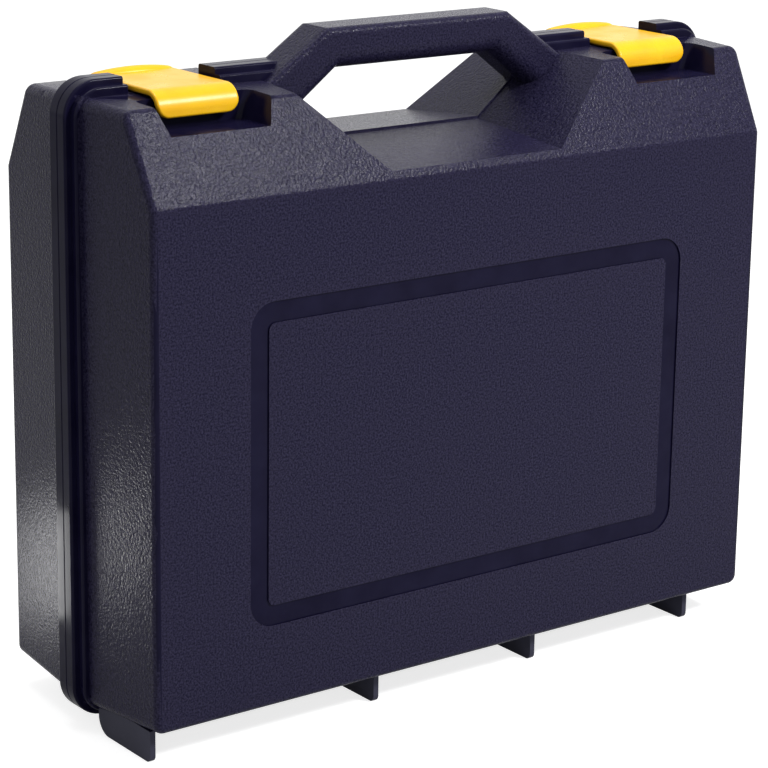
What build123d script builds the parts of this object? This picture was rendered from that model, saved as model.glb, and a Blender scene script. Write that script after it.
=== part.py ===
from build123d import *
import os
from dataclasses import dataclass
from math import hypot, radians, tan

# Hard plastic tool case that stands upright on moulded fin feet. Two half shells meet on an
# upright parting plane. They turn on three steel pins along the bottom edge and are held shut
# along the top by two plastic clip latches. Each half carries its half of the carrying handle.
#
# Millimetres, +Z up, -Y towards the front face. The parting plane is at y = 0, and the origin
# lies on the floor under the middle of the case.

# ---- shells ----
CASE_WIDTH = 392.0            # over the rim
SHELL_HEIGHT = 296.4          # bottom to top of the shells at the parting plane
FRONT_DEPTH = 66.0
REAR_DEPTH = 66.0
WALL = 2.8
FOOT_HEIGHT = 13.1            # floor to the underside of the shells at the parting plane
SIDE_DRAFT = 0.067            # inward lean of each wall, mm per mm of depth
BOTTOM_DRAFT = 0.050
TOP_DRAFT = 0.028
EDGE_RADIUS = 5.0             # long edges of a shell
FACE_RADIUS = 3.0             # edges round the big faces and the top slopes

# ---- slope between a big face and the top ----
SLOPE_DROP = 42.0             # height of the slope
FRONT_SLOPE_RUN = 21.5
REAR_SLOPE_RUN = 22.2

# ---- rim along the parting line ----
RIM_PROUD = 5.5               # stands out from the sides
RIM_DROP = 6.8                # stands down from the bottom
RIM_RISE = 7.3                # stands up from the top
RIM_RADIUS = 17.0
REAR_RIM_WIDTH = 7.4
FRONT_RIM_WIDTH = 6.8
RIM_STEP_WIDTH = 4.5          # lower band in front of the front rim
RIM_STEP_DROP = 3.2
RIM_EDGE_RADIUS = 1.2
PARTING_BEVEL = 0.5

# ---- tongue on the front rim, groove in the rear rim, on the sides and the top ----
TONGUE_INSET = 2.2            # in from the outside of the rim
TONGUE_THICKNESS = 1.8
TONGUE_HEIGHT = 2.5
TONGUE_CLEARANCE = 0.35
TONGUE_START = 26.0           # above the underside of the shells
TONGUE_END_GAP = 3.0          # short of each break in the rim

# ---- hand opening below the handle ----
NOTCH_ANGLE = 40.0            # walls above the horizontal
NOTCH_HALF_FLOOR = 50.0
NOTCH_DEPTH = 32.2            # top of the shells down to the floor, at the parting plane
NOTCH_DRAFT = 0.095           # fall of the floor, mm per mm of depth
NOTCH_SPREAD = 0.036          # outward lean of the walls, mm per mm of depth
NOTCH_LIP = 1.0               # step up from the front shell's floor to the rear shell's

# ---- handle ----
HANDLE_HALF_TOP = 56.0
HANDLE_HALF_UNDER = 48.0
HANDLE_RISE = 22.5            # top of the grip above the top of the shells
HANDLE_THICKNESS = 20.5
LEG_OUTER_ANGLE = 34.5        # legs' outer faces below the horizontal
LEG_INNER_ANGLE = 37.0
HANDLE_FRONT = 17.0           # front half's depth from the parting plane
HANDLE_REAR = 9.5
HANDLE_WALL = 3.0
HANDLE_TOP_RADII = (3.5, 6.5)   # front and rear halves' outer edges
HANDLE_GRIP_RADII = (9.0, 6.0)  # and the edges that the fingers close round
HANDLE_RIB = 2.0
HANDLE_RIB_PITCH = 26.0

# ---- latches ----
LATCH_INSET = 56.5            # middle of each latch from the side of the rim
LATCH_WIDTH = 44.5
LATCH_THICKNESS = 3.0
LATCH_LIFT = 0.4              # gap between the latch and the top of the shells
LATCH_NOSE_RADIUS = 9.5
LATCH_FRONT_REACH = 32.5      # parting plane to the front of the nose
LATCH_NOSE_DROP = 12.8        # top of the latch down to the end of the nose
LATCH_CORNER_RADIUS = 6.5     # corners of the front nose, seen from the front
LATCH_EDGE_RADIUS = 1.2
LATCH_SIDE_GAP = 2.9          # latch to each rim end
HOOK_DEPTH = 2.2
HOOK_HEIGHT = 2.2
LEDGE_DEPTH = 2.2
LEDGE_HEIGHT = 3.0
LEDGE_LENGTH = 34.0
HOOK_LENGTH = 28.0
HOOK_CLEARANCE = 0.4

# ---- finger pockets under the latch noses ----
FRONT_POCKET_DROP = 14.0      # top of the shells down to the pocket floor
POCKET_HALF_WIDTH = 27.0
FRONT_POCKET_FLARE = 0.36     # outward lean of the front pocket's side walls, mm per mm
FRONT_POCKET_BACK = 26.2      # parting plane to the pocket's back wall
POCKET_RADIUS = 4.0

# ---- latch pivot on the rear shell ----
PIVOT_Y = 27.0
PIVOT_DROP = 7.5              # top of the shells down to the pivot
PIVOT_PIN_RADIUS = 1.5
PIVOT_BARREL_RADIUS = 3.8
PIVOT_BARREL_LENGTH = 12.0
PIVOT_NOSE_REACH = 5.7        # pivot to the back of the latch
PIVOT_BOSS_RADIUS = 4.0
PIVOT_BOSS_LENGTH = 3.6
PIVOT_SEAT_DEPTH = 5.0        # length of pin held in each pocket wall
PIVOT_SWING_GAP = 0.8         # latch to the walls of the rear pocket as it turns
RUNNING_CLEARANCE = 0.05      # radial, pin to turning part

# ---- bottom hinge ----
HINGE_INSET = 84.0            # middle of each outer hinge from the side of the rim
HINGE_Z = 6.0
HINGE_PIN_RADIUS = 1.5
KNUCKLE_RADIUS = 4.4
KNUCKLE_LENGTH = 16.0
KNUCKLE_GAP = 0.4
KNUCKLE_RELIEF = 0.6          # free space round a turning knuckle
WEB_INNER = 1.0               # web's near face from the parting plane
PIN_END_INSET = 0.5

# ---- feet ----
FOOT_THICKNESS = 3.0
FOOT_LEFT_INSET = 12.5        # front half's outer feet from the sides of the rim; the rear
FOOT_RIGHT_INSET = 41.0       # half's feet are the front half's turned half round
FOOT_INNER_XS = (-53.0, 48.0)
FOOT_FACE_GAP = 8.0           # end of a foot in from the big face
FOOT_HEEL_RADIUS = 9.0
FOOT_TOE_RADIUS = 3.0
FOOT_RIM_GAP = 1.5            # start of a rear foot past the rim

# ---- label frame in the front face ----
FRAME_INSET = 62.4            # from the side of the rim
FRAME_BOTTOM = 57.7           # above the floor
FRAME_TOP = 216.8
FRAME_BAND = 10.2
FRAME_RADIUS = 13.0
FRAME_DEPTH = 0.8

# ---- values that follow from those above ----
BOTTOM_Z = FOOT_HEIGHT
TOP_Z = FOOT_HEIGHT + SHELL_HEIGHT
HALF_WIDTH = CASE_WIDTH / 2 - RIM_PROUD
HANDLE_TOP_Z = TOP_Z + HANDLE_RISE
LATCH_UNDER_Z = TOP_Z + LATCH_LIFT
LATCH_TOP_Z = LATCH_UNDER_Z + LATCH_THICKNESS
PIVOT_Z = TOP_Z - PIVOT_DROP
REAR_POCKET_BACK = PIVOT_Y - PIVOT_NOSE_REACH - PIVOT_SWING_GAP
REAR_POCKET_DROP = PIVOT_DROP + hypot(PIVOT_NOSE_REACH, PIVOT_BARREL_RADIUS) + PIVOT_SWING_GAP
LATCH_X = CASE_WIDTH / 2 - LATCH_INSET
RIM_GAP_HALF = LATCH_WIDTH / 2 + LATCH_SIDE_GAP
HINGE_XS = (HINGE_INSET - CASE_WIDTH / 2, 0.0, CASE_WIDTH / 2 - HINGE_INSET)
FOOT_XS = (FOOT_LEFT_INSET - CASE_WIDTH / 2, *FOOT_INNER_XS, CASE_WIDTH / 2 - FOOT_RIGHT_INSET)
FRAME_HALF_WIDTH = CASE_WIDTH / 2 - FRAME_INSET
BEYOND = 40.0                 # how far cutting tools run past what they cut


@dataclass(frozen=True)
class Half:
    """One half of the case: which way it faces and the sizes in which the two halves differ."""

    side: int                 # -1 front, +1 rear
    depth: float
    slope_run: float
    pocket_back: float
    pocket_drop: float
    pocket_flare: float
    handle_depth: float
    handle_radii: tuple       # outer edge, grip edge
    notch_floor: float        # height of the notch floor at the parting plane
    rim_width: float


FRONT = Half(-1, FRONT_DEPTH, FRONT_SLOPE_RUN, FRONT_POCKET_BACK, FRONT_POCKET_DROP,
             FRONT_POCKET_FLARE, HANDLE_FRONT, (HANDLE_TOP_RADII[0], HANDLE_GRIP_RADII[0]),
             TOP_Z - NOTCH_DEPTH - NOTCH_LIP, FRONT_RIM_WIDTH)
REAR = Half(1, REAR_DEPTH, REAR_SLOPE_RUN, REAR_POCKET_BACK, REAR_POCKET_DROP,
            0.0, HANDLE_REAR, (HANDLE_TOP_RADII[1], HANDLE_GRIP_RADII[1]),
            TOP_Z - NOTCH_DEPTH, REAR_RIM_WIDTH)


# ---------------------------------------------------------------- drawing helpers

def upright(y, sketch):
    """A sketch drawn in x and z, set upright at depth y."""
    return Plane.XZ.offset(-y).location * sketch


def prism_y(sketch, y_from, y_to):
    """An x-z sketch extruded from one depth to another."""
    return extrude(upright(y_from, sketch), amount=y_from - y_to)


def prism_x(points, x_from, x_to):
    """A y-z outline extruded from one width to another."""
    outline = Plane.YZ.offset(x_from).location * make_face(Polyline(*points, close=True))
    return extrude(outline, amount=x_to - x_from)


def block(x_range, y_range, z_range):
    """A box between three pairs of limits."""
    spans = [sorted(limits) for limits in (x_range, y_range, z_range)]
    sizes = [high - low for low, high in spans]
    centre = [(high + low) / 2 for low, high in spans]
    return Pos(*centre) * Box(*sizes)


def rod(x_from, x_to, y, z, radius):
    """A round bar along x."""
    return Pos((x_from + x_to) / 2, y, z) * Rot(0, 90, 0) * Cylinder(radius, abs(x_to - x_from))


def rounded_outline(half_width, z_low, z_high, radius):
    """A rounded rectangle in x and z."""
    return Pos(0, (z_low + z_high) / 2) * RectangleRounded(2 * half_width, z_high - z_low, radius)


# ---------------------------------------------------------------- half shells

def tapered_body(half, inset, radius):
    """The drafted block of a half shell, drawn in by inset on every closed side."""
    reach = half.depth - inset
    low, high = BOTTOM_Z + inset, TOP_Z - inset
    seam = rounded_outline(HALF_WIDTH - inset, low, high, radius)
    face = rounded_outline(HALF_WIDTH - inset - SIDE_DRAFT * reach,
                           low + BOTTOM_DRAFT * reach, high - TOP_DRAFT * reach, radius)
    body = loft([upright(0, seam), upright(half.side * reach, face)], ruled=True)
    return body - slope_tool(half, inset)


def slope_tool(half, inset):
    """The wedge cut away above the slope between the big face and the top."""
    top = TOP_Z - TOP_DRAFT * (half.depth - half.slope_run)
    run, rise = half.slope_run, SLOPE_DROP
    length = (run ** 2 + rise ** 2) ** 0.5
    shift_y, shift_z = inset * rise / length, inset * run / length
    foot = (half.depth - shift_y, top - rise - shift_z)
    head = (half.depth - run - shift_y, top - shift_z)
    low = (foot[0] + run, foot[1] - rise)
    up = (head[0] - run, head[1] + rise)
    outline = [low, up, (low[0] + BEYOND, up[1]), (low[0] + BEYOND, low[1])]
    points = [(half.side * y, z) for y, z in outline]
    return prism_x(points, -CASE_WIDTH, CASE_WIDTH)


def notch_section(half, reach, grow):
    """The hand opening at a distance from the parting plane, wider by grow all round."""
    z_floor = half.notch_floor - NOTCH_DRAFT * reach - grow
    z_top = HANDLE_TOP_Z + BEYOND
    half_floor = NOTCH_HALF_FLOOR + NOTCH_SPREAD * reach + grow * tan(radians(NOTCH_ANGLE / 2))
    half_top = half_floor + (z_top - z_floor) / tan(radians(NOTCH_ANGLE))
    return make_face(Polyline((-half_floor, z_floor), (half_floor, z_floor),
                              (half_top, z_top), (-half_top, z_top), close=True))


def notch_tool(half, grow):
    """The hand opening's cutting body, flared away from the parting plane."""
    reach = half.depth + BEYOND
    near = notch_section(half, 0, grow)
    far = notch_section(half, reach, grow)
    return loft([upright(0, near), upright(half.side * reach, far)], ruled=True)


def pocket_tool(half, x, grow):
    """The finger pocket's cutting body at one latch, larger by grow towards the shell."""
    floor = TOP_Z - half.pocket_drop - grow
    top = TOP_Z + BEYOND
    wide = POCKET_HALF_WIDTH + grow
    wide_top = wide + half.pocket_flare * (top - floor)
    near = half.pocket_back - grow
    section = Polyline((x - wide, floor), (x + wide, floor), (x + wide_top, top),
                       (x - wide_top, top), close=True)
    tool = prism_y(make_face(section), half.side * near, half.side * (half.depth + BEYOND))
    back = tool.faces().sort_by(lambda f: abs(f.center().Y))[0]
    corners = back.edges().filter_by(lambda e: e.bounding_box().size.Z > BEYOND)
    return fillet(corners, POCKET_RADIUS + grow)


def cavity(half):
    """The free space inside a half shell."""
    space = tapered_body(half, WALL, EDGE_RADIUS - WALL)
    space -= notch_tool(half, WALL)
    for x in (-LATCH_X, LATCH_X):
        space -= pocket_tool(half, x, WALL)
    return space


def outer_form(half):
    """The outside of a half shell with its edges rounded, solid right through."""
    body = tapered_body(half, 0, EDGE_RADIUS)
    far_edges = body.edges().filter_by(lambda e: min(abs(v.Y) for v in e.vertices()) > WALL)
    body = fillet(far_edges, FACE_RADIUS)
    body -= notch_tool(half, 0)
    for x in (-LATCH_X, LATCH_X):
        body -= pocket_tool(half, x, 0)
    return body


def half_shell(half):
    """A half shell's walls with rim, handle half and feet, before the hinge and latch details."""
    space = cavity(half)
    solid = outer_form(half) + rim(half) + notch_fillers(half)
    shell = solid - space
    shell += handle_half(half) - space
    shell -= rod_relief()
    return shell + feet(half)


# ---------------------------------------------------------------- rim

def rim_plate(drop, y_from, y_to, far_radius):
    """A plate with the rim's outline, lowered by drop, with its far edge rounded."""
    outline = rounded_outline(CASE_WIDTH / 2 - drop, BOTTOM_Z - RIM_DROP + drop,
                              TOP_Z + RIM_RISE - drop, RIM_RADIUS - drop)
    plate = prism_y(outline, y_from, y_to)
    far = plate.edges().filter_by(lambda e: abs(e.center().Y - y_to) < 0.01)
    plate = fillet(far, far_radius)
    if y_from == 0:
        near = plate.edges().filter_by(lambda e: abs(e.center().Y) < 0.01)
        plate = chamfer(near, PARTING_BEVEL)
    return plate


def rim_breaks():
    """What interrupts the rim along the top: a gap for each latch, and the handle."""
    reach = (-BEYOND, BEYOND)
    tools = block((-HANDLE_HALF_TOP - HANDLE_THICKNESS, HANDLE_HALF_TOP + HANDLE_THICKNESS),
                  reach, (TOP_Z - BEYOND, TOP_Z + BEYOND))
    for x in (-LATCH_X, LATCH_X):
        tools += block((x - RIM_GAP_HALF, x + RIM_GAP_HALF), reach, (TOP_Z, TOP_Z + BEYOND))
    return tools


def rim(half):
    """The rim of one half, as a frame with its breaks."""
    frame = rim_plate(0, 0, half.side * half.rim_width, RIM_EDGE_RADIUS)
    if half is FRONT:
        frame += rim_plate(RIM_STEP_DROP, -half.rim_width, -half.rim_width - RIM_STEP_WIDTH,
                           RIM_EDGE_RADIUS)
    return frame - rim_breaks()


def rim_reach(half):
    """How far the rim and its step reach from the parting plane."""
    return half.rim_width + (RIM_STEP_WIDTH if half is FRONT else 0)


def notch_fillers(half):
    """Corner pieces that close the rim against the handle legs above the hand opening."""
    foot_x = NOTCH_HALF_FLOOR + (NOTCH_DEPTH + NOTCH_LIP) / tan(radians(NOTCH_ANGLE))
    leg_x = HANDLE_HALF_TOP + HANDLE_RISE / tan(radians(LEG_OUTER_ANGLE))
    middle = (foot_x + leg_x) / 2
    corner = [(leg_x - WALL, TOP_Z), (foot_x + WALL, TOP_Z), (foot_x + WALL, TOP_Z - WALL),
              (middle, TOP_Z - 2 * WALL)]
    piece = prism_y(make_face(Polyline(*corner, close=True)), 0, half.side * rim_reach(half))
    return piece + mirror(piece, Plane.YZ)


def tongue(grow, start):
    """The tongue's frame; grow widens it on each face to make the groove."""
    inset = TONGUE_INSET - grow
    inner = TONGUE_INSET + TONGUE_THICKNESS + grow
    outlines = [rounded_outline(CASE_WIDTH / 2 - drop, BOTTOM_Z - RIM_DROP + drop,
                                TOP_Z + RIM_RISE - drop, RIM_RADIUS - drop)
                for drop in (inset, inner)]
    frame = prism_y(outlines[0] - outlines[1], 0, TONGUE_HEIGHT + grow)
    foot = block((-CASE_WIDTH, CASE_WIDTH), (-BEYOND, BEYOND), (-BEYOND, BOTTOM_Z + start))
    top = block((-LATCH_X - BEYOND, LATCH_X + BEYOND), (-BEYOND, BEYOND),
                (TOP_Z - BEYOND, TOP_Z + BEYOND))
    spare = RIM_GAP_HALF + TONGUE_END_GAP - grow
    legs = HANDLE_HALF_TOP + HANDLE_THICKNESS + BEYOND / 4 - grow
    breaks = block((-legs, legs), (-BEYOND, BEYOND), (TOP_Z - BEYOND, TOP_Z + BEYOND))
    for x in (-LATCH_X, LATCH_X):
        breaks += block((x - spare, x + spare), (-BEYOND, BEYOND), (TOP_Z - BEYOND, TOP_Z + BEYOND))
    return frame - foot - (breaks & top)


# ---------------------------------------------------------------- handle

def leg_outline(half_top, z_top, angle, inset):
    """The trapezium under one surface of the handle, drawn in by inset."""
    z_foot = TOP_Z - NOTCH_DEPTH
    top = half_top - inset * tan(radians(angle / 2))
    foot = top + (z_top - inset - z_foot) / tan(radians(angle))
    return make_face(Polyline((-foot, z_foot), (-top, z_top - inset), (top, z_top - inset),
                              (foot, z_foot), close=True))


def handle_outline(inset):
    """The grip and its two legs in x and z, as a band drawn in by inset on each side."""
    under_z = HANDLE_TOP_Z - HANDLE_THICKNESS
    return (leg_outline(HANDLE_HALF_TOP, HANDLE_TOP_Z, LEG_OUTER_ANGLE, inset)
            - leg_outline(HANDLE_HALF_UNDER, under_z, LEG_INNER_ANGLE, -inset))


def is_handle_outside(edge):
    """True for the edges on the top of the grip and the outside of its legs."""
    middle = edge.center()
    spare = max(abs(middle.X) - (HANDLE_HALF_TOP + HANDLE_HALF_UNDER) / 2, 0)
    return middle.Z > HANDLE_TOP_Z - HANDLE_THICKNESS / 2 - spare * tan(radians(LEG_OUTER_ANGLE))


def handle_edges(band, far, outside):
    """The long edges of the handle's far face, on its outside or its inside."""
    foot_z = TOP_Z - NOTCH_DEPTH + 0.01
    edges = band.edges().filter_by(lambda e: abs(e.center().Y - far) < 0.01)
    return [e for e in edges if e.center().Z > foot_z and is_handle_outside(e) == outside]


def handle_bar(half, inset):
    """One half of the handle as a solid bar, drawn in by inset, with its far edges rounded."""
    far = half.side * (half.handle_depth - inset)
    bar = prism_y(handle_outline(inset), 0, far)
    for outside, radius in zip((True, False), half.handle_radii):
        if radius > inset + 1:
            bar = fillet(handle_edges(bar, far, outside), radius - inset)
    return bar


def handle_half(half):
    """One half of the handle: a ribbed trough that opens towards the parting plane."""
    return handle_bar(half, 0) - (handle_bar(half, HANDLE_WALL) - handle_ribs(half))


def handle_ribs(half):
    """Stiffening ribs across the trough of a handle half."""
    count = int(HANDLE_HALF_TOP / HANDLE_RIB_PITCH)
    ribs = None
    for step in range(-count, count + 1):
        x = step * HANDLE_RIB_PITCH
        rib = block((x - HANDLE_RIB / 2, x + HANDLE_RIB / 2),
                    (half.side * 1.0, half.side * half.handle_depth),
                    (HANDLE_TOP_Z - HANDLE_THICKNESS, HANDLE_TOP_Z))
        ribs = rib if ribs is None else ribs + rib
    return ribs


# ---------------------------------------------------------------- feet

def foot(half, x):
    """One fin foot under a half shell."""
    heel = FRONT_RIM_WIDTH + RIM_STEP_WIDTH if half is FRONT else REAR_RIM_WIDTH + FOOT_RIM_GAP
    toe = half.depth - FOOT_FACE_GAP
    top = BOTTOM_Z + WALL
    points = [(half.side * y, z) for y, z in ((heel, 0), (toe, 0), (toe, top), (heel, top))]
    fin = prism_x(points, x - FOOT_THICKNESS / 2, x + FOOT_THICKNESS / 2)
    floor_edges = fin.edges().filter_by(Axis.X).filter_by(lambda e: e.center().Z < 0.01)
    heel_edge = floor_edges.sort_by(lambda e: abs(e.center().Y))[0]
    fin = fillet(heel_edge, FOOT_HEEL_RADIUS)
    toe_edges = fin.edges().filter_by(Axis.X).filter_by(
        lambda e: e.center().Z < 0.01 and abs(e.center().Y) > toe - 1)
    return fillet(toe_edges, FOOT_TOE_RADIUS)


def feet(half):
    """All four feet of a half shell."""
    fins = None
    for front_x in FOOT_XS:
        fin = foot(half, -half.side * front_x)
        fins = fin if fins is None else fins + fin
    return fins


# ---------------------------------------------------------------- bottom hinge

def knuckle_spans(x):
    """The x limits of one hinge's three knuckles: rear, front, rear."""
    pitch = KNUCKLE_LENGTH + KNUCKLE_GAP
    return [(x + n * pitch - KNUCKLE_LENGTH / 2, x + n * pitch + KNUCKLE_LENGTH / 2)
            for n in (-1, 0, 1)]


def rod_relief():
    """Room cut in both rims round the hinge knuckles."""
    half_length = 1.5 * KNUCKLE_LENGTH + 2 * KNUCKLE_GAP
    tools = None
    for x in HINGE_XS:
        tool = rod(x - half_length, x + half_length, 0, HINGE_Z, KNUCKLE_RADIUS + KNUCKLE_RELIEF)
        tools = tool if tools is None else tools + tool
    return tools


def knuckle(half, span):
    """A hinge knuckle with the web that carries it from the shell."""
    web = block(span, (half.side * WEB_INNER, half.side * KNUCKLE_RADIUS),
                (HINGE_Z, BOTTOM_Z + WALL))
    return rod(*span, 0, HINGE_Z, KNUCKLE_RADIUS) + web


def add_knuckles(shell, half):
    """A half shell with its hinge knuckles and their bores."""
    radius = HINGE_PIN_RADIUS + (RUNNING_CLEARANCE if half is FRONT else 0)
    for x in HINGE_XS:
        left, middle, right = knuckle_spans(x)
        for span in ((middle,) if half is FRONT else (left, right)):
            shell += knuckle(half, span)
        shell -= rod(left[0] - KNUCKLE_GAP, right[1] + KNUCKLE_GAP, 0, HINGE_Z, radius)
    return shell


def hinge_pin(x):
    """A steel hinge pin."""
    left, _, right = knuckle_spans(x)
    pin = rod(left[0] + PIN_END_INSET, right[1] - PIN_END_INSET, 0, HINGE_Z, HINGE_PIN_RADIUS)
    return pin


# ---------------------------------------------------------------- latches

def latch_ledge(x):
    """The ledge on the front pocket's back wall that a latch hooks under."""
    top = hook_top() + HOOK_CLEARANCE + LEDGE_HEIGHT
    return block((x - LEDGE_LENGTH / 2, x + LEDGE_LENGTH / 2),
                 (-FRONT_POCKET_BACK + WALL / 2, -FRONT_POCKET_BACK - LEDGE_DEPTH),
                 (top - LEDGE_HEIGHT, top))


def hook_top():
    """Height of the hook's catching face."""
    return LATCH_TOP_Z - LATCH_NOSE_DROP + HOOK_HEIGHT


def latch_profile():
    """The latch in y and z: plate, front nose and the rear nose over the pivot."""
    r_out = LATCH_NOSE_RADIUS
    r_in = r_out - LATCH_THICKNESS
    front, top, under = -LATCH_FRONT_REACH, LATCH_TOP_Z, LATCH_UNDER_Z
    low = LATCH_TOP_Z - LATCH_NOSE_DROP
    back = PIVOT_Y + PIVOT_NOSE_REACH
    rear_low = PIVOT_Z - PIVOT_BARREL_RADIUS
    inner_front, inner_back = front + LATCH_THICKNESS, back - LATCH_THICKNESS
    edges = [
        Line((front, low), (front, top - r_out)),
        RadiusArc((front, top - r_out), (front + r_out, top), r_out),
        Line((front + r_out, top), (back - r_out, top)),
        RadiusArc((back - r_out, top), (back, top - r_out), r_out),
        Line((back, top - r_out), (back, rear_low)),
        Line((back, rear_low), (inner_back, rear_low)),
        Line((inner_back, rear_low), (inner_back, under - r_in)),
        RadiusArc((inner_back, under - r_in), (inner_back - r_in, under), -r_in),
        Line((inner_back - r_in, under), (inner_front + r_in, under)),
        RadiusArc((inner_front + r_in, under), (inner_front, under - r_in), -r_in),
        Line((inner_front, under - r_in), (inner_front, low)),
        Line((inner_front, low), (front, low)),
    ]
    return make_face(Wire(edges))


def nose_corners():
    """What the rounded lower corners of a latch's front nose leave out."""
    low = LATCH_TOP_Z - LATCH_NOSE_DROP
    shape = rounded_outline(LATCH_WIDTH / 2, low, low + BEYOND, LATCH_CORNER_RADIUS)
    slab = block((-LATCH_WIDTH, LATCH_WIDTH), (-BEYOND, LATCH_NOSE_RADIUS - LATCH_FRONT_REACH),
                 (low - 1, LATCH_TOP_Z - LATCH_CORNER_RADIUS / 2))
    return slab - prism_y(shape, LATCH_NOSE_RADIUS - LATCH_FRONT_REACH + 1, -BEYOND - 1)


def latch():
    """A clip latch at x = 0: a bent plate with a hook at the front and pivot barrels behind."""
    wide = LATCH_WIDTH / 2
    body = extrude(Plane.YZ.offset(-wide).location * latch_profile(), amount=LATCH_WIDTH)
    body -= nose_corners()
    skin = body.edges().filter_by(is_latch_outside)
    body = fillet(skin, LATCH_EDGE_RADIUS)
    body += latch_hook()
    for side in (-1, 1):
        outer_end = side * (wide - LATCH_EDGE_RADIUS)
        body += barrel(outer_end, outer_end - side * PIVOT_BARREL_LENGTH)
    return body - rod(-wide, wide, PIVOT_Y, PIVOT_Z, PIVOT_PIN_RADIUS + RUNNING_CLEARANCE)


def latch_hook():
    """The barb inside a latch's front nose."""
    low = LATCH_TOP_Z - LATCH_NOSE_DROP
    inner = -LATCH_FRONT_REACH + LATCH_THICKNESS
    points = [(inner - 1, low), (inner, low), (inner + HOOK_DEPTH, low + HOOK_HEIGHT * 0.6),
              (inner + HOOK_DEPTH, low + HOOK_HEIGHT), (inner - 1, low + HOOK_HEIGHT)]
    return prism_x(points, -HOOK_LENGTH / 2, HOOK_LENGTH / 2)


def is_latch_outside(edge):
    """True for the side edges of the latch's outer skin."""
    middle = edge.center()
    if abs(middle.X) < LATCH_WIDTH / 2 - LATCH_CORNER_RADIUS:
        return False
    at_front = abs(middle.Y + LATCH_FRONT_REACH) < 0.01
    high = middle.Z > LATCH_UNDER_Z + LATCH_THICKNESS / 2
    nose = middle.Y < -LATCH_FRONT_REACH + LATCH_NOSE_RADIUS / 2
    return high or at_front or (nose and middle.Z > LATCH_TOP_Z - LATCH_NOSE_RADIUS)


def barrel(x_from, x_to):
    """A pivot barrel with the web that joins it to the latch's rear nose."""
    turned = rod(x_from, x_to, PIVOT_Y, PIVOT_Z, PIVOT_BARREL_RADIUS)
    web = block((x_from, x_to), (PIVOT_Y, PIVOT_Y + PIVOT_NOSE_REACH - LATCH_THICKNESS / 2),
                (PIVOT_Z - PIVOT_BARREL_RADIUS, PIVOT_Z + PIVOT_BARREL_RADIUS))
    return turned + web


def pivot_bosses(x):
    """The bosses inside the rear shell that hold the two ends of a latch pin."""
    bosses = None
    for side in (-1, 1):
        wall = x + side * POCKET_HALF_WIDTH
        boss = rod(wall + side * WALL / 2, wall + side * (WALL + PIVOT_BOSS_LENGTH),
                   PIVOT_Y, PIVOT_Z, PIVOT_BOSS_RADIUS)
        bosses = boss if bosses is None else bosses + boss
    return bosses


def latch_pin(x):
    """The steel pin that a latch turns on."""
    reach = POCKET_HALF_WIDTH + PIVOT_SEAT_DEPTH
    return rod(x - reach, x + reach, PIVOT_Y, PIVOT_Z, PIVOT_PIN_RADIUS)


# ---------------------------------------------------------------- finished shells

def label_frame():
    """The shallow polished band that frames the middle of the front face."""
    low, high = FRAME_BOTTOM, FRAME_TOP
    band = (rounded_outline(FRAME_HALF_WIDTH, low, high, FRAME_RADIUS)
            - rounded_outline(FRAME_HALF_WIDTH - FRAME_BAND, low + FRAME_BAND, high - FRAME_BAND,
                              FRAME_RADIUS - FRAME_BAND + 1))
    return prism_y(band, -FRONT_DEPTH - 1, -FRONT_DEPTH + FRAME_DEPTH)


def front_shell():
    """The lid: the front half shell."""
    shell = add_knuckles(half_shell(FRONT), FRONT)
    shell -= label_frame()
    shell += tongue(0, TONGUE_START)
    for x in (-LATCH_X, LATCH_X):
        shell += latch_ledge(x)
    return shell


def rear_shell():
    """The base: the rear half shell."""
    shell = add_knuckles(half_shell(REAR), REAR)
    shell -= tongue(TONGUE_CLEARANCE, TONGUE_START - TONGUE_CLEARANCE)
    for x in (-LATCH_X, LATCH_X):
        shell += pivot_bosses(x)
        shell -= latch_pin(x)
    return shell


def main():
    """Build every piece and write one STEP file for each."""
    pieces = {
        "front_shell": front_shell(),
        "rear_shell": rear_shell(),
        "latch_left": Pos(-LATCH_X, 0, 0) * latch(),
        "latch_right": Pos(LATCH_X, 0, 0) * latch(),
        "latch_pin_left": latch_pin(-LATCH_X),
        "latch_pin_right": latch_pin(LATCH_X),
        "hinge_pin_left": hinge_pin(HINGE_XS[0]),
        "hinge_pin_middle": hinge_pin(HINGE_XS[1]),
        "hinge_pin_right": hinge_pin(HINGE_XS[2]),
    }
    os.makedirs("parts", exist_ok=True)
    for name, piece in pieces.items():
        export_step(piece, f"parts/{name}.step")


main()
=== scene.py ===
"""Looks of a moulded plastic tool case, standing closed on its fin feet.

Every CAD node keeps its shape and gets its finish here, each latch gets the rib along its back, and
the case is lit in a white studio. Lengths are in metres unless a name ends in _mm or _px.
"""

import logging
from dataclasses import dataclass, field
from enum import Enum
from math import cos, pi, sin, sqrt

import bpy
from mathutils import Matrix, Vector


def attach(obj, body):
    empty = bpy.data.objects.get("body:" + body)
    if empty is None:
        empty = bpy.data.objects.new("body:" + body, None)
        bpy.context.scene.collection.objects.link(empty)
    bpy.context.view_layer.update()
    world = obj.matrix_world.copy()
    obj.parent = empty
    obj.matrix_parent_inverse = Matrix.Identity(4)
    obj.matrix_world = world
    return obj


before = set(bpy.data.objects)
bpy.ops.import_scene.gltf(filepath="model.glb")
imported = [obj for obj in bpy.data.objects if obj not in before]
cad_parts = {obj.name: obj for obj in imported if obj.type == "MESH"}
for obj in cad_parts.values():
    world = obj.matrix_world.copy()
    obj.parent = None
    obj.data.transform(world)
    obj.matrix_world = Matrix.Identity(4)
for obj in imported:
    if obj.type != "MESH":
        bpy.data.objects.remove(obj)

LOG = logging.getLogger("tool_case")
IMAGE_SIDE_PX = 768
LATCH_X = 0.1395

Colour = tuple[float, float, float]
Span = tuple[float, float]


class Skin(Enum):
    """The finishes that one moulded shell carries, in the order of its material slots."""

    GRAINED = 0
    POLISHED = 1
    SMOOTH = 2


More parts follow.
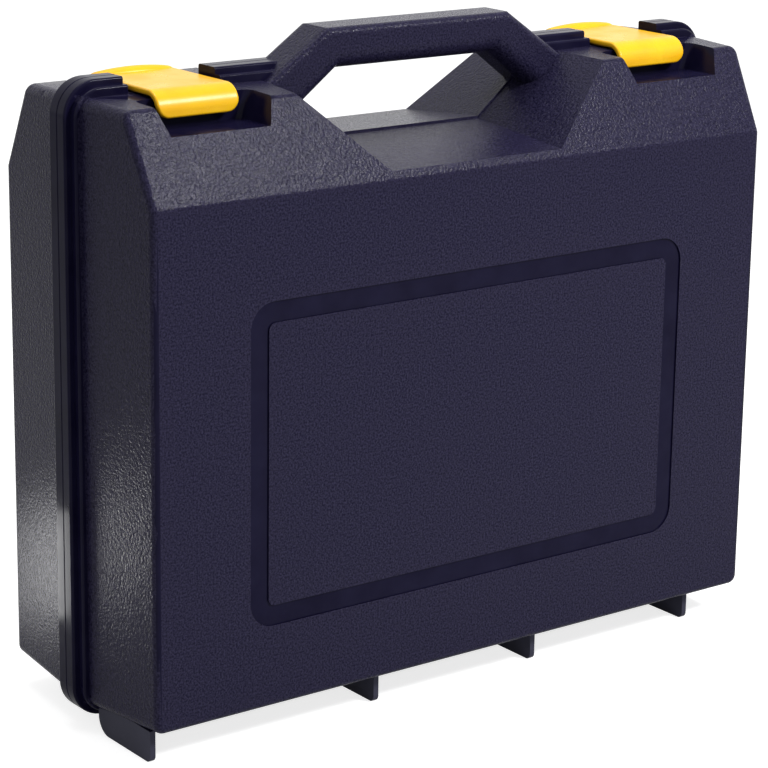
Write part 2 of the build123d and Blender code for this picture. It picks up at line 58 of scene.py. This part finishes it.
# ---------------------------------------------------------------- finishes

class NodeSheet:
    """A material's node tree, with short calls to add nodes and links."""

    # Places of a Mix node's colour sockets, whose names its other sockets share.
    MIX_FIRST = 6
    MIX_SECOND = 7
    MIX_RESULT = 2

    def __init__(self, name: str) -> None:
        """Make an empty material.

        Args:
            name: the material's name.
        """
        self.material = bpy.data.materials.new(name)
        self.material.use_nodes = True
        self.tree = self.material.node_tree
        self.shader = self.tree.nodes["Principled BSDF"]
        place = self.tree.nodes.new("ShaderNodeTexCoord")
        self.place = place.outputs["Object"]

    def add(self, kind: str, **values: object) -> bpy.types.Node:
        """Add a node and set its inputs.

        Args:
            kind: the node's type, without the ShaderNode prefix.
            **values: socket values, with underscores for spaces in the socket's name.

        Returns:
            The new node.
        """
        node = self.tree.nodes.new(f"ShaderNode{kind}")
        for key, value in values.items():
            node.inputs[key.replace("_", " ")].default_value = value
        return node

    def link(self, source: bpy.types.NodeSocket, target: bpy.types.NodeSocket) -> None:
        """Join two sockets."""
        self.tree.links.new(source, target)

    def noise(self, size: float, detail: float = 2.0, roughness: float = 0.5,
              stretch: tuple[float, float, float] = (1.0, 1.0, 1.0)) -> bpy.types.NodeSocket:
        """A noise field over the object.

        Args:
            size: width of one lump, in metres.
            detail: octaves of finer lumps.
            roughness: strength of the finer lumps.
            stretch: how many times finer the lumps are along each axis.

        Returns:
            The noise value's socket.
        """
        mapping = self.add("Mapping", Scale=stretch)
        self.link(self.place, mapping.inputs["Vector"])
        node = self.add("TexNoise", Scale=1.0 / size, Detail=detail, Roughness=roughness)
        self.link(mapping.outputs["Vector"], node.inputs["Vector"])
        return node.outputs["Fac"]

    def spread(self, source: bpy.types.NodeSocket, low: float, high: float,
               span: Span = (0.3, 0.7)) -> bpy.types.NodeSocket:
        """Map a value from one span to another, and clamp it.

        Args:
            source: the value.
            low: result at the span's start.
            high: result at the span's end.
            span: the part of the source's values that is mapped.

        Returns:
            The mapped value's socket.
        """
        node = self.add("MapRange", From_Min=span[0], From_Max=span[1], To_Min=low, To_Max=high)
        self.link(source, node.inputs["Value"])
        return node.outputs["Result"]

    def blend(self, share: bpy.types.NodeSocket, first: Colour, second: Colour) -> bpy.types.NodeSocket:
        """Mix two colours by a share.

        Args:
            share: 0 gives the first colour and 1 the second.
            first: linear colour.
            second: linear colour.

        Returns:
            The mixed colour's socket.
        """
        node = self.tree.nodes.new("ShaderNodeMix")
        node.data_type = "RGBA"
        node.inputs[self.MIX_FIRST].default_value = (*first, 1.0)
        node.inputs[self.MIX_SECOND].default_value = (*second, 1.0)
        self.link(share, node.inputs["Factor"])
        return node.outputs[self.MIX_RESULT]

    def bump(self, height: bpy.types.NodeSocket, depth: float,
             under: bpy.types.NodeSocket | None = None) -> bpy.types.NodeSocket:
        """Add relief to the surface.

        Args:
            height: the relief's height, 0 to 1.
            depth: the real height of 1, in metres.
            under: the normal that this relief lies on.

        Returns:
            The new normal's socket.
        """
        node = self.add("Bump", Strength=1.0, Distance=depth)
        self.link(height, node.inputs["Height"])
        if under is not None:
            self.link(under, node.inputs["Normal"])
        return node.outputs["Normal"]


@dataclass(frozen=True)
class GrainedPlastic:
    """Dark plastic moulded with a fine, sparkling grain, whose colour has painted light on the grain's
    peaks and painted shade in its valleys.
    """

    name: str = "grained_plastic"
    # Lighter colour on the grain's peaks and darker colour in its valleys: painted light and painted
    # shade.
    lit_peak_colour: Colour = (0.027, 0.024, 0.056)
    shaded_valley_colour: Colour = (0.006, 0.005, 0.019)
    grain_size: float = 0.0010
    grain_depth: float = 0.00018
    pit_size: float = 0.0014
    pit_depth: float = 0.00030
    glint_size: float = 0.0009
    grain_span: Span = (0.35, 0.65)
    glint_span: Span = (0.42, 0.62)
    roughness_low: float = 0.12
    roughness_high: float = 0.26
    specular: float = 0.08

    def material(self) -> bpy.types.Material:
        """Build the material.

        Returns:
            The finish as a material.
        """
        sheet = NodeSheet(self.name)
        grain = sheet.noise(self.grain_size, detail=3.0, roughness=0.6)
        pits = sheet.noise(self.pit_size, detail=1.0)
        glint = sheet.noise(self.glint_size, detail=1.0)
        # The grain's peaks take the lighter colour and its valleys take the darker one: painted light
        # and shade of the grain.
        share = sheet.spread(grain, 0.0, 1.0, self.grain_span)
        colour = sheet.blend(share, self.shaded_valley_colour, self.lit_peak_colour)
        sheet.link(colour, sheet.shader.inputs["Base Color"])
        rough = sheet.spread(glint, self.roughness_high, self.roughness_low, self.glint_span)
        sheet.link(rough, sheet.shader.inputs["Roughness"])
        sheet.shader.inputs["Specular IOR Level"].default_value = self.specular
        coarse = sheet.bump(pits, self.pit_depth)
        sheet.link(sheet.bump(grain, self.grain_depth, coarse), sheet.shader.inputs["Normal"])
        return sheet.material


@dataclass(frozen=True)
class PolishedPlastic:
    """The same plastic where the tool is polished, with faint handling haze, and a base colour kept
    darker than the grained skin's as a painted dark reflection.
    """

    name: str = "polished_plastic"
    # Base colour darker than the grained skin's: a painted dark reflection on the polished band, rim
    # and pockets.
    colour: Colour = (0.005, 0.004, 0.018)
    haze_colour: Colour = (0.009, 0.008, 0.027)
    roughness_low: float = 0.10
    roughness_high: float = 0.22
    haze_size: float = 0.018
    ripple_size: float = 0.035
    ripple_depth: float = 0.00006
    specular: float = 0.06

    def material(self) -> bpy.types.Material:
        """Build the material.

        Returns:
            The finish as a material.
        """
        sheet = NodeSheet(self.name)
        haze = sheet.noise(self.haze_size, detail=4.0, roughness=0.6)
        sheet.link(sheet.blend(sheet.spread(haze, 0.0, 1.0), self.colour, self.haze_colour),
                   sheet.shader.inputs["Base Color"])
        sheet.link(sheet.spread(haze, self.roughness_low, self.roughness_high),
                   sheet.shader.inputs["Roughness"])
        sheet.shader.inputs["Specular IOR Level"].default_value = self.specular
        ripple = sheet.noise(self.ripple_size, detail=1.0)
        sheet.link(sheet.bump(ripple, self.ripple_depth), sheet.shader.inputs["Normal"])
        return sheet.material


@dataclass(frozen=True)
class FootPlastic(PolishedPlastic):
    """The same plastic on the thin fin feet, where it is paler and duller."""

    name: str = "smooth_plastic"
    colour: Colour = (0.042, 0.042, 0.066)
    haze_colour: Colour = (0.055, 0.055, 0.082)
    roughness_low: float = 0.30
    roughness_high: float = 0.42


@dataclass(frozen=True)
class LatchPlastic:
    """Bright satin plastic of the clip latches."""

    name: str = "latch_plastic"
    colour: Colour = (0.93, 0.53, 0.007)
    deep_colour: Colour = (0.86, 0.44, 0.004)
    flow_size: float = 0.014
    roughness_low: float = 0.24
    roughness_high: float = 0.36
    grain_size: float = 0.0006
    grain_depth: float = 0.000012
    specular: float = 0.32

    def material(self) -> bpy.types.Material:
        """Build the material.

        Returns:
            The finish as a material.
        """
        sheet = NodeSheet(self.name)
        flow = sheet.noise(self.flow_size, detail=3.0)
        sheet.link(sheet.blend(sheet.spread(flow, 0.0, 1.0), self.deep_colour, self.colour),
                   sheet.shader.inputs["Base Color"])
        sheet.link(sheet.spread(flow, self.roughness_high, self.roughness_low),
                   sheet.shader.inputs["Roughness"])
        sheet.shader.inputs["Specular IOR Level"].default_value = self.specular
        grain = sheet.noise(self.grain_size)
        sheet.link(sheet.bump(grain, self.grain_depth), sheet.shader.inputs["Normal"])
        return sheet.material


@dataclass(frozen=True)
class DrawnSteel:
    """Drawn steel wire, with fine lines along its length."""

    name: str = "drawn_steel"
    colour: Colour = (0.56, 0.57, 0.59)
    dull_colour: Colour = (0.40, 0.41, 0.43)
    line_size: float = 0.0004
    line_depth: float = 0.00001
    line_stretch: tuple[float, float, float] = (0.04, 1.0, 1.0)
    roughness_low: float = 0.22
    roughness_high: float = 0.40

    def material(self) -> bpy.types.Material:
        """Build the material.

        Returns:
            The finish as a material.
        """
        sheet = NodeSheet(self.name)
        lines = sheet.noise(self.line_size, detail=2.0, stretch=self.line_stretch)
        sheet.link(sheet.blend(sheet.spread(lines, 0.0, 1.0), self.dull_colour, self.colour),
                   sheet.shader.inputs["Base Color"])
        sheet.shader.inputs["Metallic"].default_value = 1.0
        sheet.link(sheet.spread(lines, self.roughness_low, self.roughness_high),
                   sheet.shader.inputs["Roughness"])
        sheet.link(sheet.bump(lines, self.line_depth), sheet.shader.inputs["Normal"])
        return sheet.material


# ---------------------------------------------------------------- pieces

def dress_whole(node: str, material: bpy.types.Material) -> None:
    """Give a CAD node one finish all over.

    Args:
        node: the node's name.
        material: its finish.
    """
    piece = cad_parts[node]
    piece.data.materials.clear()
    piece.data.materials.append(material)
    LOG.info("dressed %s", node)


@dataclass
class HalfShell:
    """One half of the case, whose skin is grained, polished or smooth by place.

    Its side is -1 for the front half and 1 for the rear half, as y runs, and its depths are
    measured out from the parting plane.
    """

    node: str
    side: int
    rim_depth: float
    half_width: float = 0.1907
    face_depth: float = 0.066
    latch_x: float = LATCH_X
    pocket_half: float = 0.0335
    pocket_z: Span = (0.293, 0.3090)
    pocket_back: float = 0.0195
    shell_z: Span = (0.0129, 0.3099)
    handle_half: float = 0.074
    band_sunk: Span = (0.00003, 0.00085)
    band_z: Span = (0.05, 0.225)

    def reach(self, point: Vector) -> float:
        """How far a point lies out from the parting plane."""
        return point.y * self.side

    def on_rim(self, point: Vector) -> bool:
        """Tell whether a point lies on the flange round the parting line.

        Args:
            point: the middle of a face.

        Returns:
            True on the flange.
        """
        if self.reach(point) > self.rim_depth:
            return False
        beside = abs(point.x) > self.half_width
        below = point.z < self.shell_z[0]
        above = point.z > self.shell_z[1] and abs(point.x) > self.handle_half
        return beside or below or above

    def in_pocket(self, point: Vector) -> bool:
        """Tell whether a point lies on the walls or floor of a finger pocket.

        Args:
            point: the middle of a face.

        Returns:
            True in a pocket.
        """
        near_latch = abs(abs(point.x) - self.latch_x) < self.pocket_half
        in_height = self.pocket_z[0] < point.z < self.pocket_z[1]
        return near_latch and in_height and self.reach(point) > self.pocket_back

    def in_band(self, point: Vector) -> bool:
        """Tell whether a point lies in the shallow band that frames the front face's middle.

        Args:
            point: the middle of a face.

        Returns:
            True in the band, which only the front half has.
        """
        sunk = self.face_depth - self.reach(point)
        in_depth = self.band_sunk[0] < sunk < self.band_sunk[1]
        return self.side < 0 and in_depth and self.band_z[0] < point.z < self.band_z[1]

    def on_foot(self, point: Vector) -> bool:
        """True on a fin foot."""
        return point.z < self.shell_z[0] and self.reach(point) > self.rim_depth

    def skin_at(self, point: Vector) -> Skin:
        """Choose the finish at a point of the surface.

        Args:
            point: the middle of a face.

        Returns:
            The finish there.
        """
        if self.on_foot(point):
            return Skin.SMOOTH
        if self.on_rim(point) or self.in_pocket(point) or self.in_band(point):
            return Skin.POLISHED
        return Skin.GRAINED

    def dress(self, finishes: dict[Skin, bpy.types.Material]) -> None:
        """Give the shell its materials.

        Args:
            finishes: the material of each skin.
        """
        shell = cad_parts[self.node]
        shell.data.materials.clear()
        for skin in Skin:
            shell.data.materials.append(finishes[skin])
        for face in shell.data.polygons:
            face.material_index = self.skin_at(face.center).value
        LOG.info("dressed %s", self.node)


@dataclass
class ClipLatch:
    """A clip latch, and the crowned rib along its back that stands above the rim."""

    node: str
    body: str
    x: float
    material: bpy.types.Material
    half_length: float = 0.02225
    middle_y: float = 0.0262
    base_z: float = 0.3105
    half_depth: float = 0.0042
    crown: float = 0.0048
    end_crown: float = 0.0030
    end_height_share: float = 0.4
    end_depth_share: float = 0.8
    end_sharpness: int = 24
    stations: int = 25
    ring_points: int = 17

    def ring(self, along: float) -> list[Vector]:
        """The rib's section at one station.

        Args:
            along: place along the rib, from -1 at one end to 1 at the other.

        Returns:
            The section's points, from its back round over the top to its front.
        """
        full = sqrt(max(0.0, 1.0 - abs(along) ** self.end_sharpness))
        height = self.crown - (self.crown - self.end_crown) * along * along
        height *= self.end_height_share + (1 - self.end_height_share) * full
        depth = self.half_depth * (self.end_depth_share + (1 - self.end_depth_share) * full)
        turns = [pi * step / (self.ring_points - 1) for step in range(self.ring_points)]
        return [Vector((self.x + along * self.half_length, self.middle_y + depth * cos(turn),
                        self.base_z + height * sin(turn))) for turn in turns]

    def rib_mesh(self) -> bpy.types.Mesh:
        """Make the rib's closed skin, with its stations set closer towards the ends.

        Returns:
            The rib's mesh, in the latch's finish.
        """
        count = self.ring_points
        last = self.stations - 1
        points = [point for step in range(self.stations)
                  for point in self.ring(sin(pi * (step / last - 0.5)))]
        faces = [(ring * count + point, ring * count + (point + 1) % count,
                  (ring + 1) * count + (point + 1) % count, (ring + 1) * count + point)
                 for ring in range(last) for point in range(count)]
        faces.append(tuple(reversed(range(count))))
        faces.append(tuple(range(last * count, (last + 1) * count)))
        mesh = bpy.data.meshes.new(f"{self.node}_thumb_rib")
        mesh.from_pydata(points, [], faces)
        mesh.shade_smooth()
        mesh.materials.append(self.material)
        return mesh

    def build(self) -> None:
        """Dress the latch, make its rib and let the rib ride on it."""
        dress_whole(self.node, self.material)
        mesh = self.rib_mesh()
        rib = bpy.data.objects.new(mesh.name, mesh)
        bpy.context.scene.collection.objects.link(rib)
        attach(rib, self.body)
        LOG.info("made %s", rib.name)


# ---------------------------------------------------------------- studio

@dataclass
class Lamp:
    """A rectangular soft light, which the camera doesn't see.

    With mirrored_only set it shows in glossy reflections and gives no diffuse light.
    """

    name: str
    place: Vector
    aim: Vector
    width: float
    height: float
    power: float
    mirrored_only: bool = False

    def build(self) -> None:
        """Make the lamp."""
        data = bpy.data.lights.new(self.name, "AREA")
        data.shape = "RECTANGLE"
        data.size, data.size_y = self.width, self.height
        data.energy = self.power
        lamp = bpy.data.objects.new(self.name, data)
        lamp.location = self.place
        lamp.rotation_mode = "QUATERNION"
        lamp.rotation_quaternion = (self.aim - self.place).to_track_quat("-Z", "Y")
        lamp.visible_camera = False
        lamp.visible_diffuse = not self.mirrored_only
        bpy.context.scene.collection.objects.link(lamp)


@dataclass
class Studio:
    """Camera, white floor and soft light.

    The camera's figures come from a fit to the case's straight edges.
    """

    camera_place: Vector = field(default_factory=lambda: Vector((-0.8038, -1.0611, 0.5173)))
    camera_right: Vector = field(default_factory=lambda: Vector((0.80000, -0.59981, 0.01481)))
    camera_up: Vector = field(default_factory=lambda: Vector((0.14543, 0.21780, 0.96510)))
    sensor_mm: float = 36.0
    focal_px: float = 2696.05
    centre_px: tuple[float, float] = (393.3, 357.86)
    target: Vector = field(default_factory=lambda: Vector((0.0, 0.0, 0.16)))
    floor_side: float = 12.0
    floor_grey: float = 0.60
    floor_roughness: float = 0.9
    floor_glow: float = 0.78
    mirrored_glow: float = 0.25
    ambient: float = 0.40

    def build_camera(self) -> None:
        """Stand the camera where the photograph was taken, by the fit."""
        data = bpy.data.cameras.new("view")
        data.sensor_width = self.sensor_mm
        data.lens = self.focal_px * self.sensor_mm / IMAGE_SIDE_PX
        middle = IMAGE_SIDE_PX / 2
        data.shift_x = (middle - self.centre_px[0]) / IMAGE_SIDE_PX
        data.shift_y = (self.centre_px[1] - middle) / IMAGE_SIDE_PX
        camera = bpy.data.objects.new("view", data)
        back = self.camera_right.cross(self.camera_up)
        turn = Matrix((self.camera_right, self.camera_up, back)).transposed()
        camera.matrix_world = Matrix.Translation(self.camera_place) @ turn.to_4x4()
        bpy.context.scene.collection.objects.link(camera)
        bpy.context.scene.camera = camera

    def seen_share(self, tree: bpy.types.NodeTree) -> bpy.types.NodeSocket:
        """Tell the rays that show the background from those that only light the case.

        Args:
            tree: the node tree of the floor or the world.

        Returns:
            A socket that is 1 for what is seen directly, mirrored or through glass, else 0.
        """
        rays = tree.nodes.new("ShaderNodeLightPath")
        share = rays.outputs["Is Camera Ray"]
        for kind in ("Is Glossy Ray", "Is Transmission Ray"):
            either = tree.nodes.new("ShaderNodeMath")
            either.operation = "MAXIMUM"
            tree.links.new(share, either.inputs[0])
            tree.links.new(rays.outputs[kind], either.inputs[1])
            share = either.outputs[0]
        return share

    def build_floor(self) -> None:
        """Lay a wide pale floor that is white to the camera and dimmer in the case's gloss."""
        half = self.floor_side / 2
        mesh = bpy.data.meshes.new("floor")
        points = [(-half, -half, 0), (half, -half, 0), (half, half, 0), (-half, half, 0)]
        mesh.from_pydata(points, [], [(0, 1, 2, 3)])
        floor = bpy.data.objects.new("floor", mesh)
        bpy.context.scene.collection.objects.link(floor)
        sheet = NodeSheet("floor_paper")
        grey = self.floor_grey
        sheet.shader.inputs["Base Color"].default_value = (grey, grey, grey, 1.0)
        sheet.shader.inputs["Roughness"].default_value = self.floor_roughness
        glow = sheet.add("Emission", Color=(1.0, 1.0, 1.0, 1.0))
        rays = sheet.add("LightPath")
        level = sheet.spread(rays.outputs["Is Camera Ray"], self.mirrored_glow, self.floor_glow,
                             (0.0, 1.0))
        sheet.link(level, glow.inputs["Strength"])
        seen = self.seen_share(sheet.tree)
        both = sheet.tree.nodes.new("ShaderNodeAddShader")
        pick = sheet.tree.nodes.new("ShaderNodeMixShader")
        sheet.link(sheet.shader.outputs[0], both.inputs[0])
        sheet.link(glow.outputs[0], both.inputs[1])
        sheet.link(seen, pick.inputs[0])
        sheet.link(sheet.shader.outputs[0], pick.inputs[1])
        sheet.link(both.outputs[0], pick.inputs[2])
        out = sheet.tree.nodes["Material Output"]
        sheet.link(pick.outputs[0], out.inputs["Surface"])
        mesh.materials.append(sheet.material)

    def build_world(self) -> None:
        """Surround the case with white that is plain to look at and mild as light."""
        world = bpy.data.worlds.new("studio")
        world.use_nodes = True
        tree = world.node_tree
        shine = tree.nodes["Background"]
        shine.inputs["Color"].default_value = (1.0, 1.0, 1.0, 1.0)
        level = tree.nodes.new("ShaderNodeMapRange")
        level.inputs["To Min"].default_value = self.ambient
        level.inputs["To Max"].default_value = 1.0
        tree.links.new(self.seen_share(tree), level.inputs["Value"])
        tree.links.new(level.outputs["Result"], shine.inputs["Strength"])
        bpy.context.scene.world = world

    def build_lamps(self) -> None:
        """Light the top and the slopes, and put a small mirrored card low by the left side."""
        Lamp("overhead", place=Vector((-0.1, 0.1, 1.6)), aim=self.target,
             width=0.8, height=0.8, power=9.5).build()
        Lamp("key", place=Vector((0.58, -1.09, 1.22)), aim=Vector((-0.16, 0.0, 0.28)),
             width=0.3, height=0.3, power=22.0).build()
        Lamp("low_card", place=Vector((-0.255, 0.150, 0.026)), aim=Vector((-0.208, 0.066, 0.052)),
             width=0.05, height=0.06, power=0.11, mirrored_only=True).build()

    def build(self) -> None:
        """Make the whole studio."""
        self.build_camera()
        self.build_floor()
        self.build_world()
        self.build_lamps()
        bpy.context.scene.view_settings.view_transform = "Standard"


# ---------------------------------------------------------------- main


def main() -> None:
    """Dress every piece of the case and build the studio round it."""
    logging.basicConfig(level=logging.INFO, format="%(message)s")
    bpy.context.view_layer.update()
    Studio().build()
    finishes = {Skin.GRAINED: GrainedPlastic().material(),
                Skin.POLISHED: PolishedPlastic().material(),
                Skin.SMOOTH: FootPlastic().material()}
    HalfShell("front_shell", side=-1, rim_depth=0.0116).dress(finishes)
    HalfShell("rear_shell", side=1, rim_depth=0.0078).dress(finishes)
    latch_plastic = LatchPlastic().material()
    ClipLatch("latch_left", body="left_latch", x=-LATCH_X, material=latch_plastic).build()
    ClipLatch("latch_right", body="right_latch", x=LATCH_X, material=latch_plastic).build()
    steel = DrawnSteel().material()
    for pin in sorted(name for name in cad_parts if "_pin" in name):
        dress_whole(pin, steel)


if __name__ == "__main__":
    main()
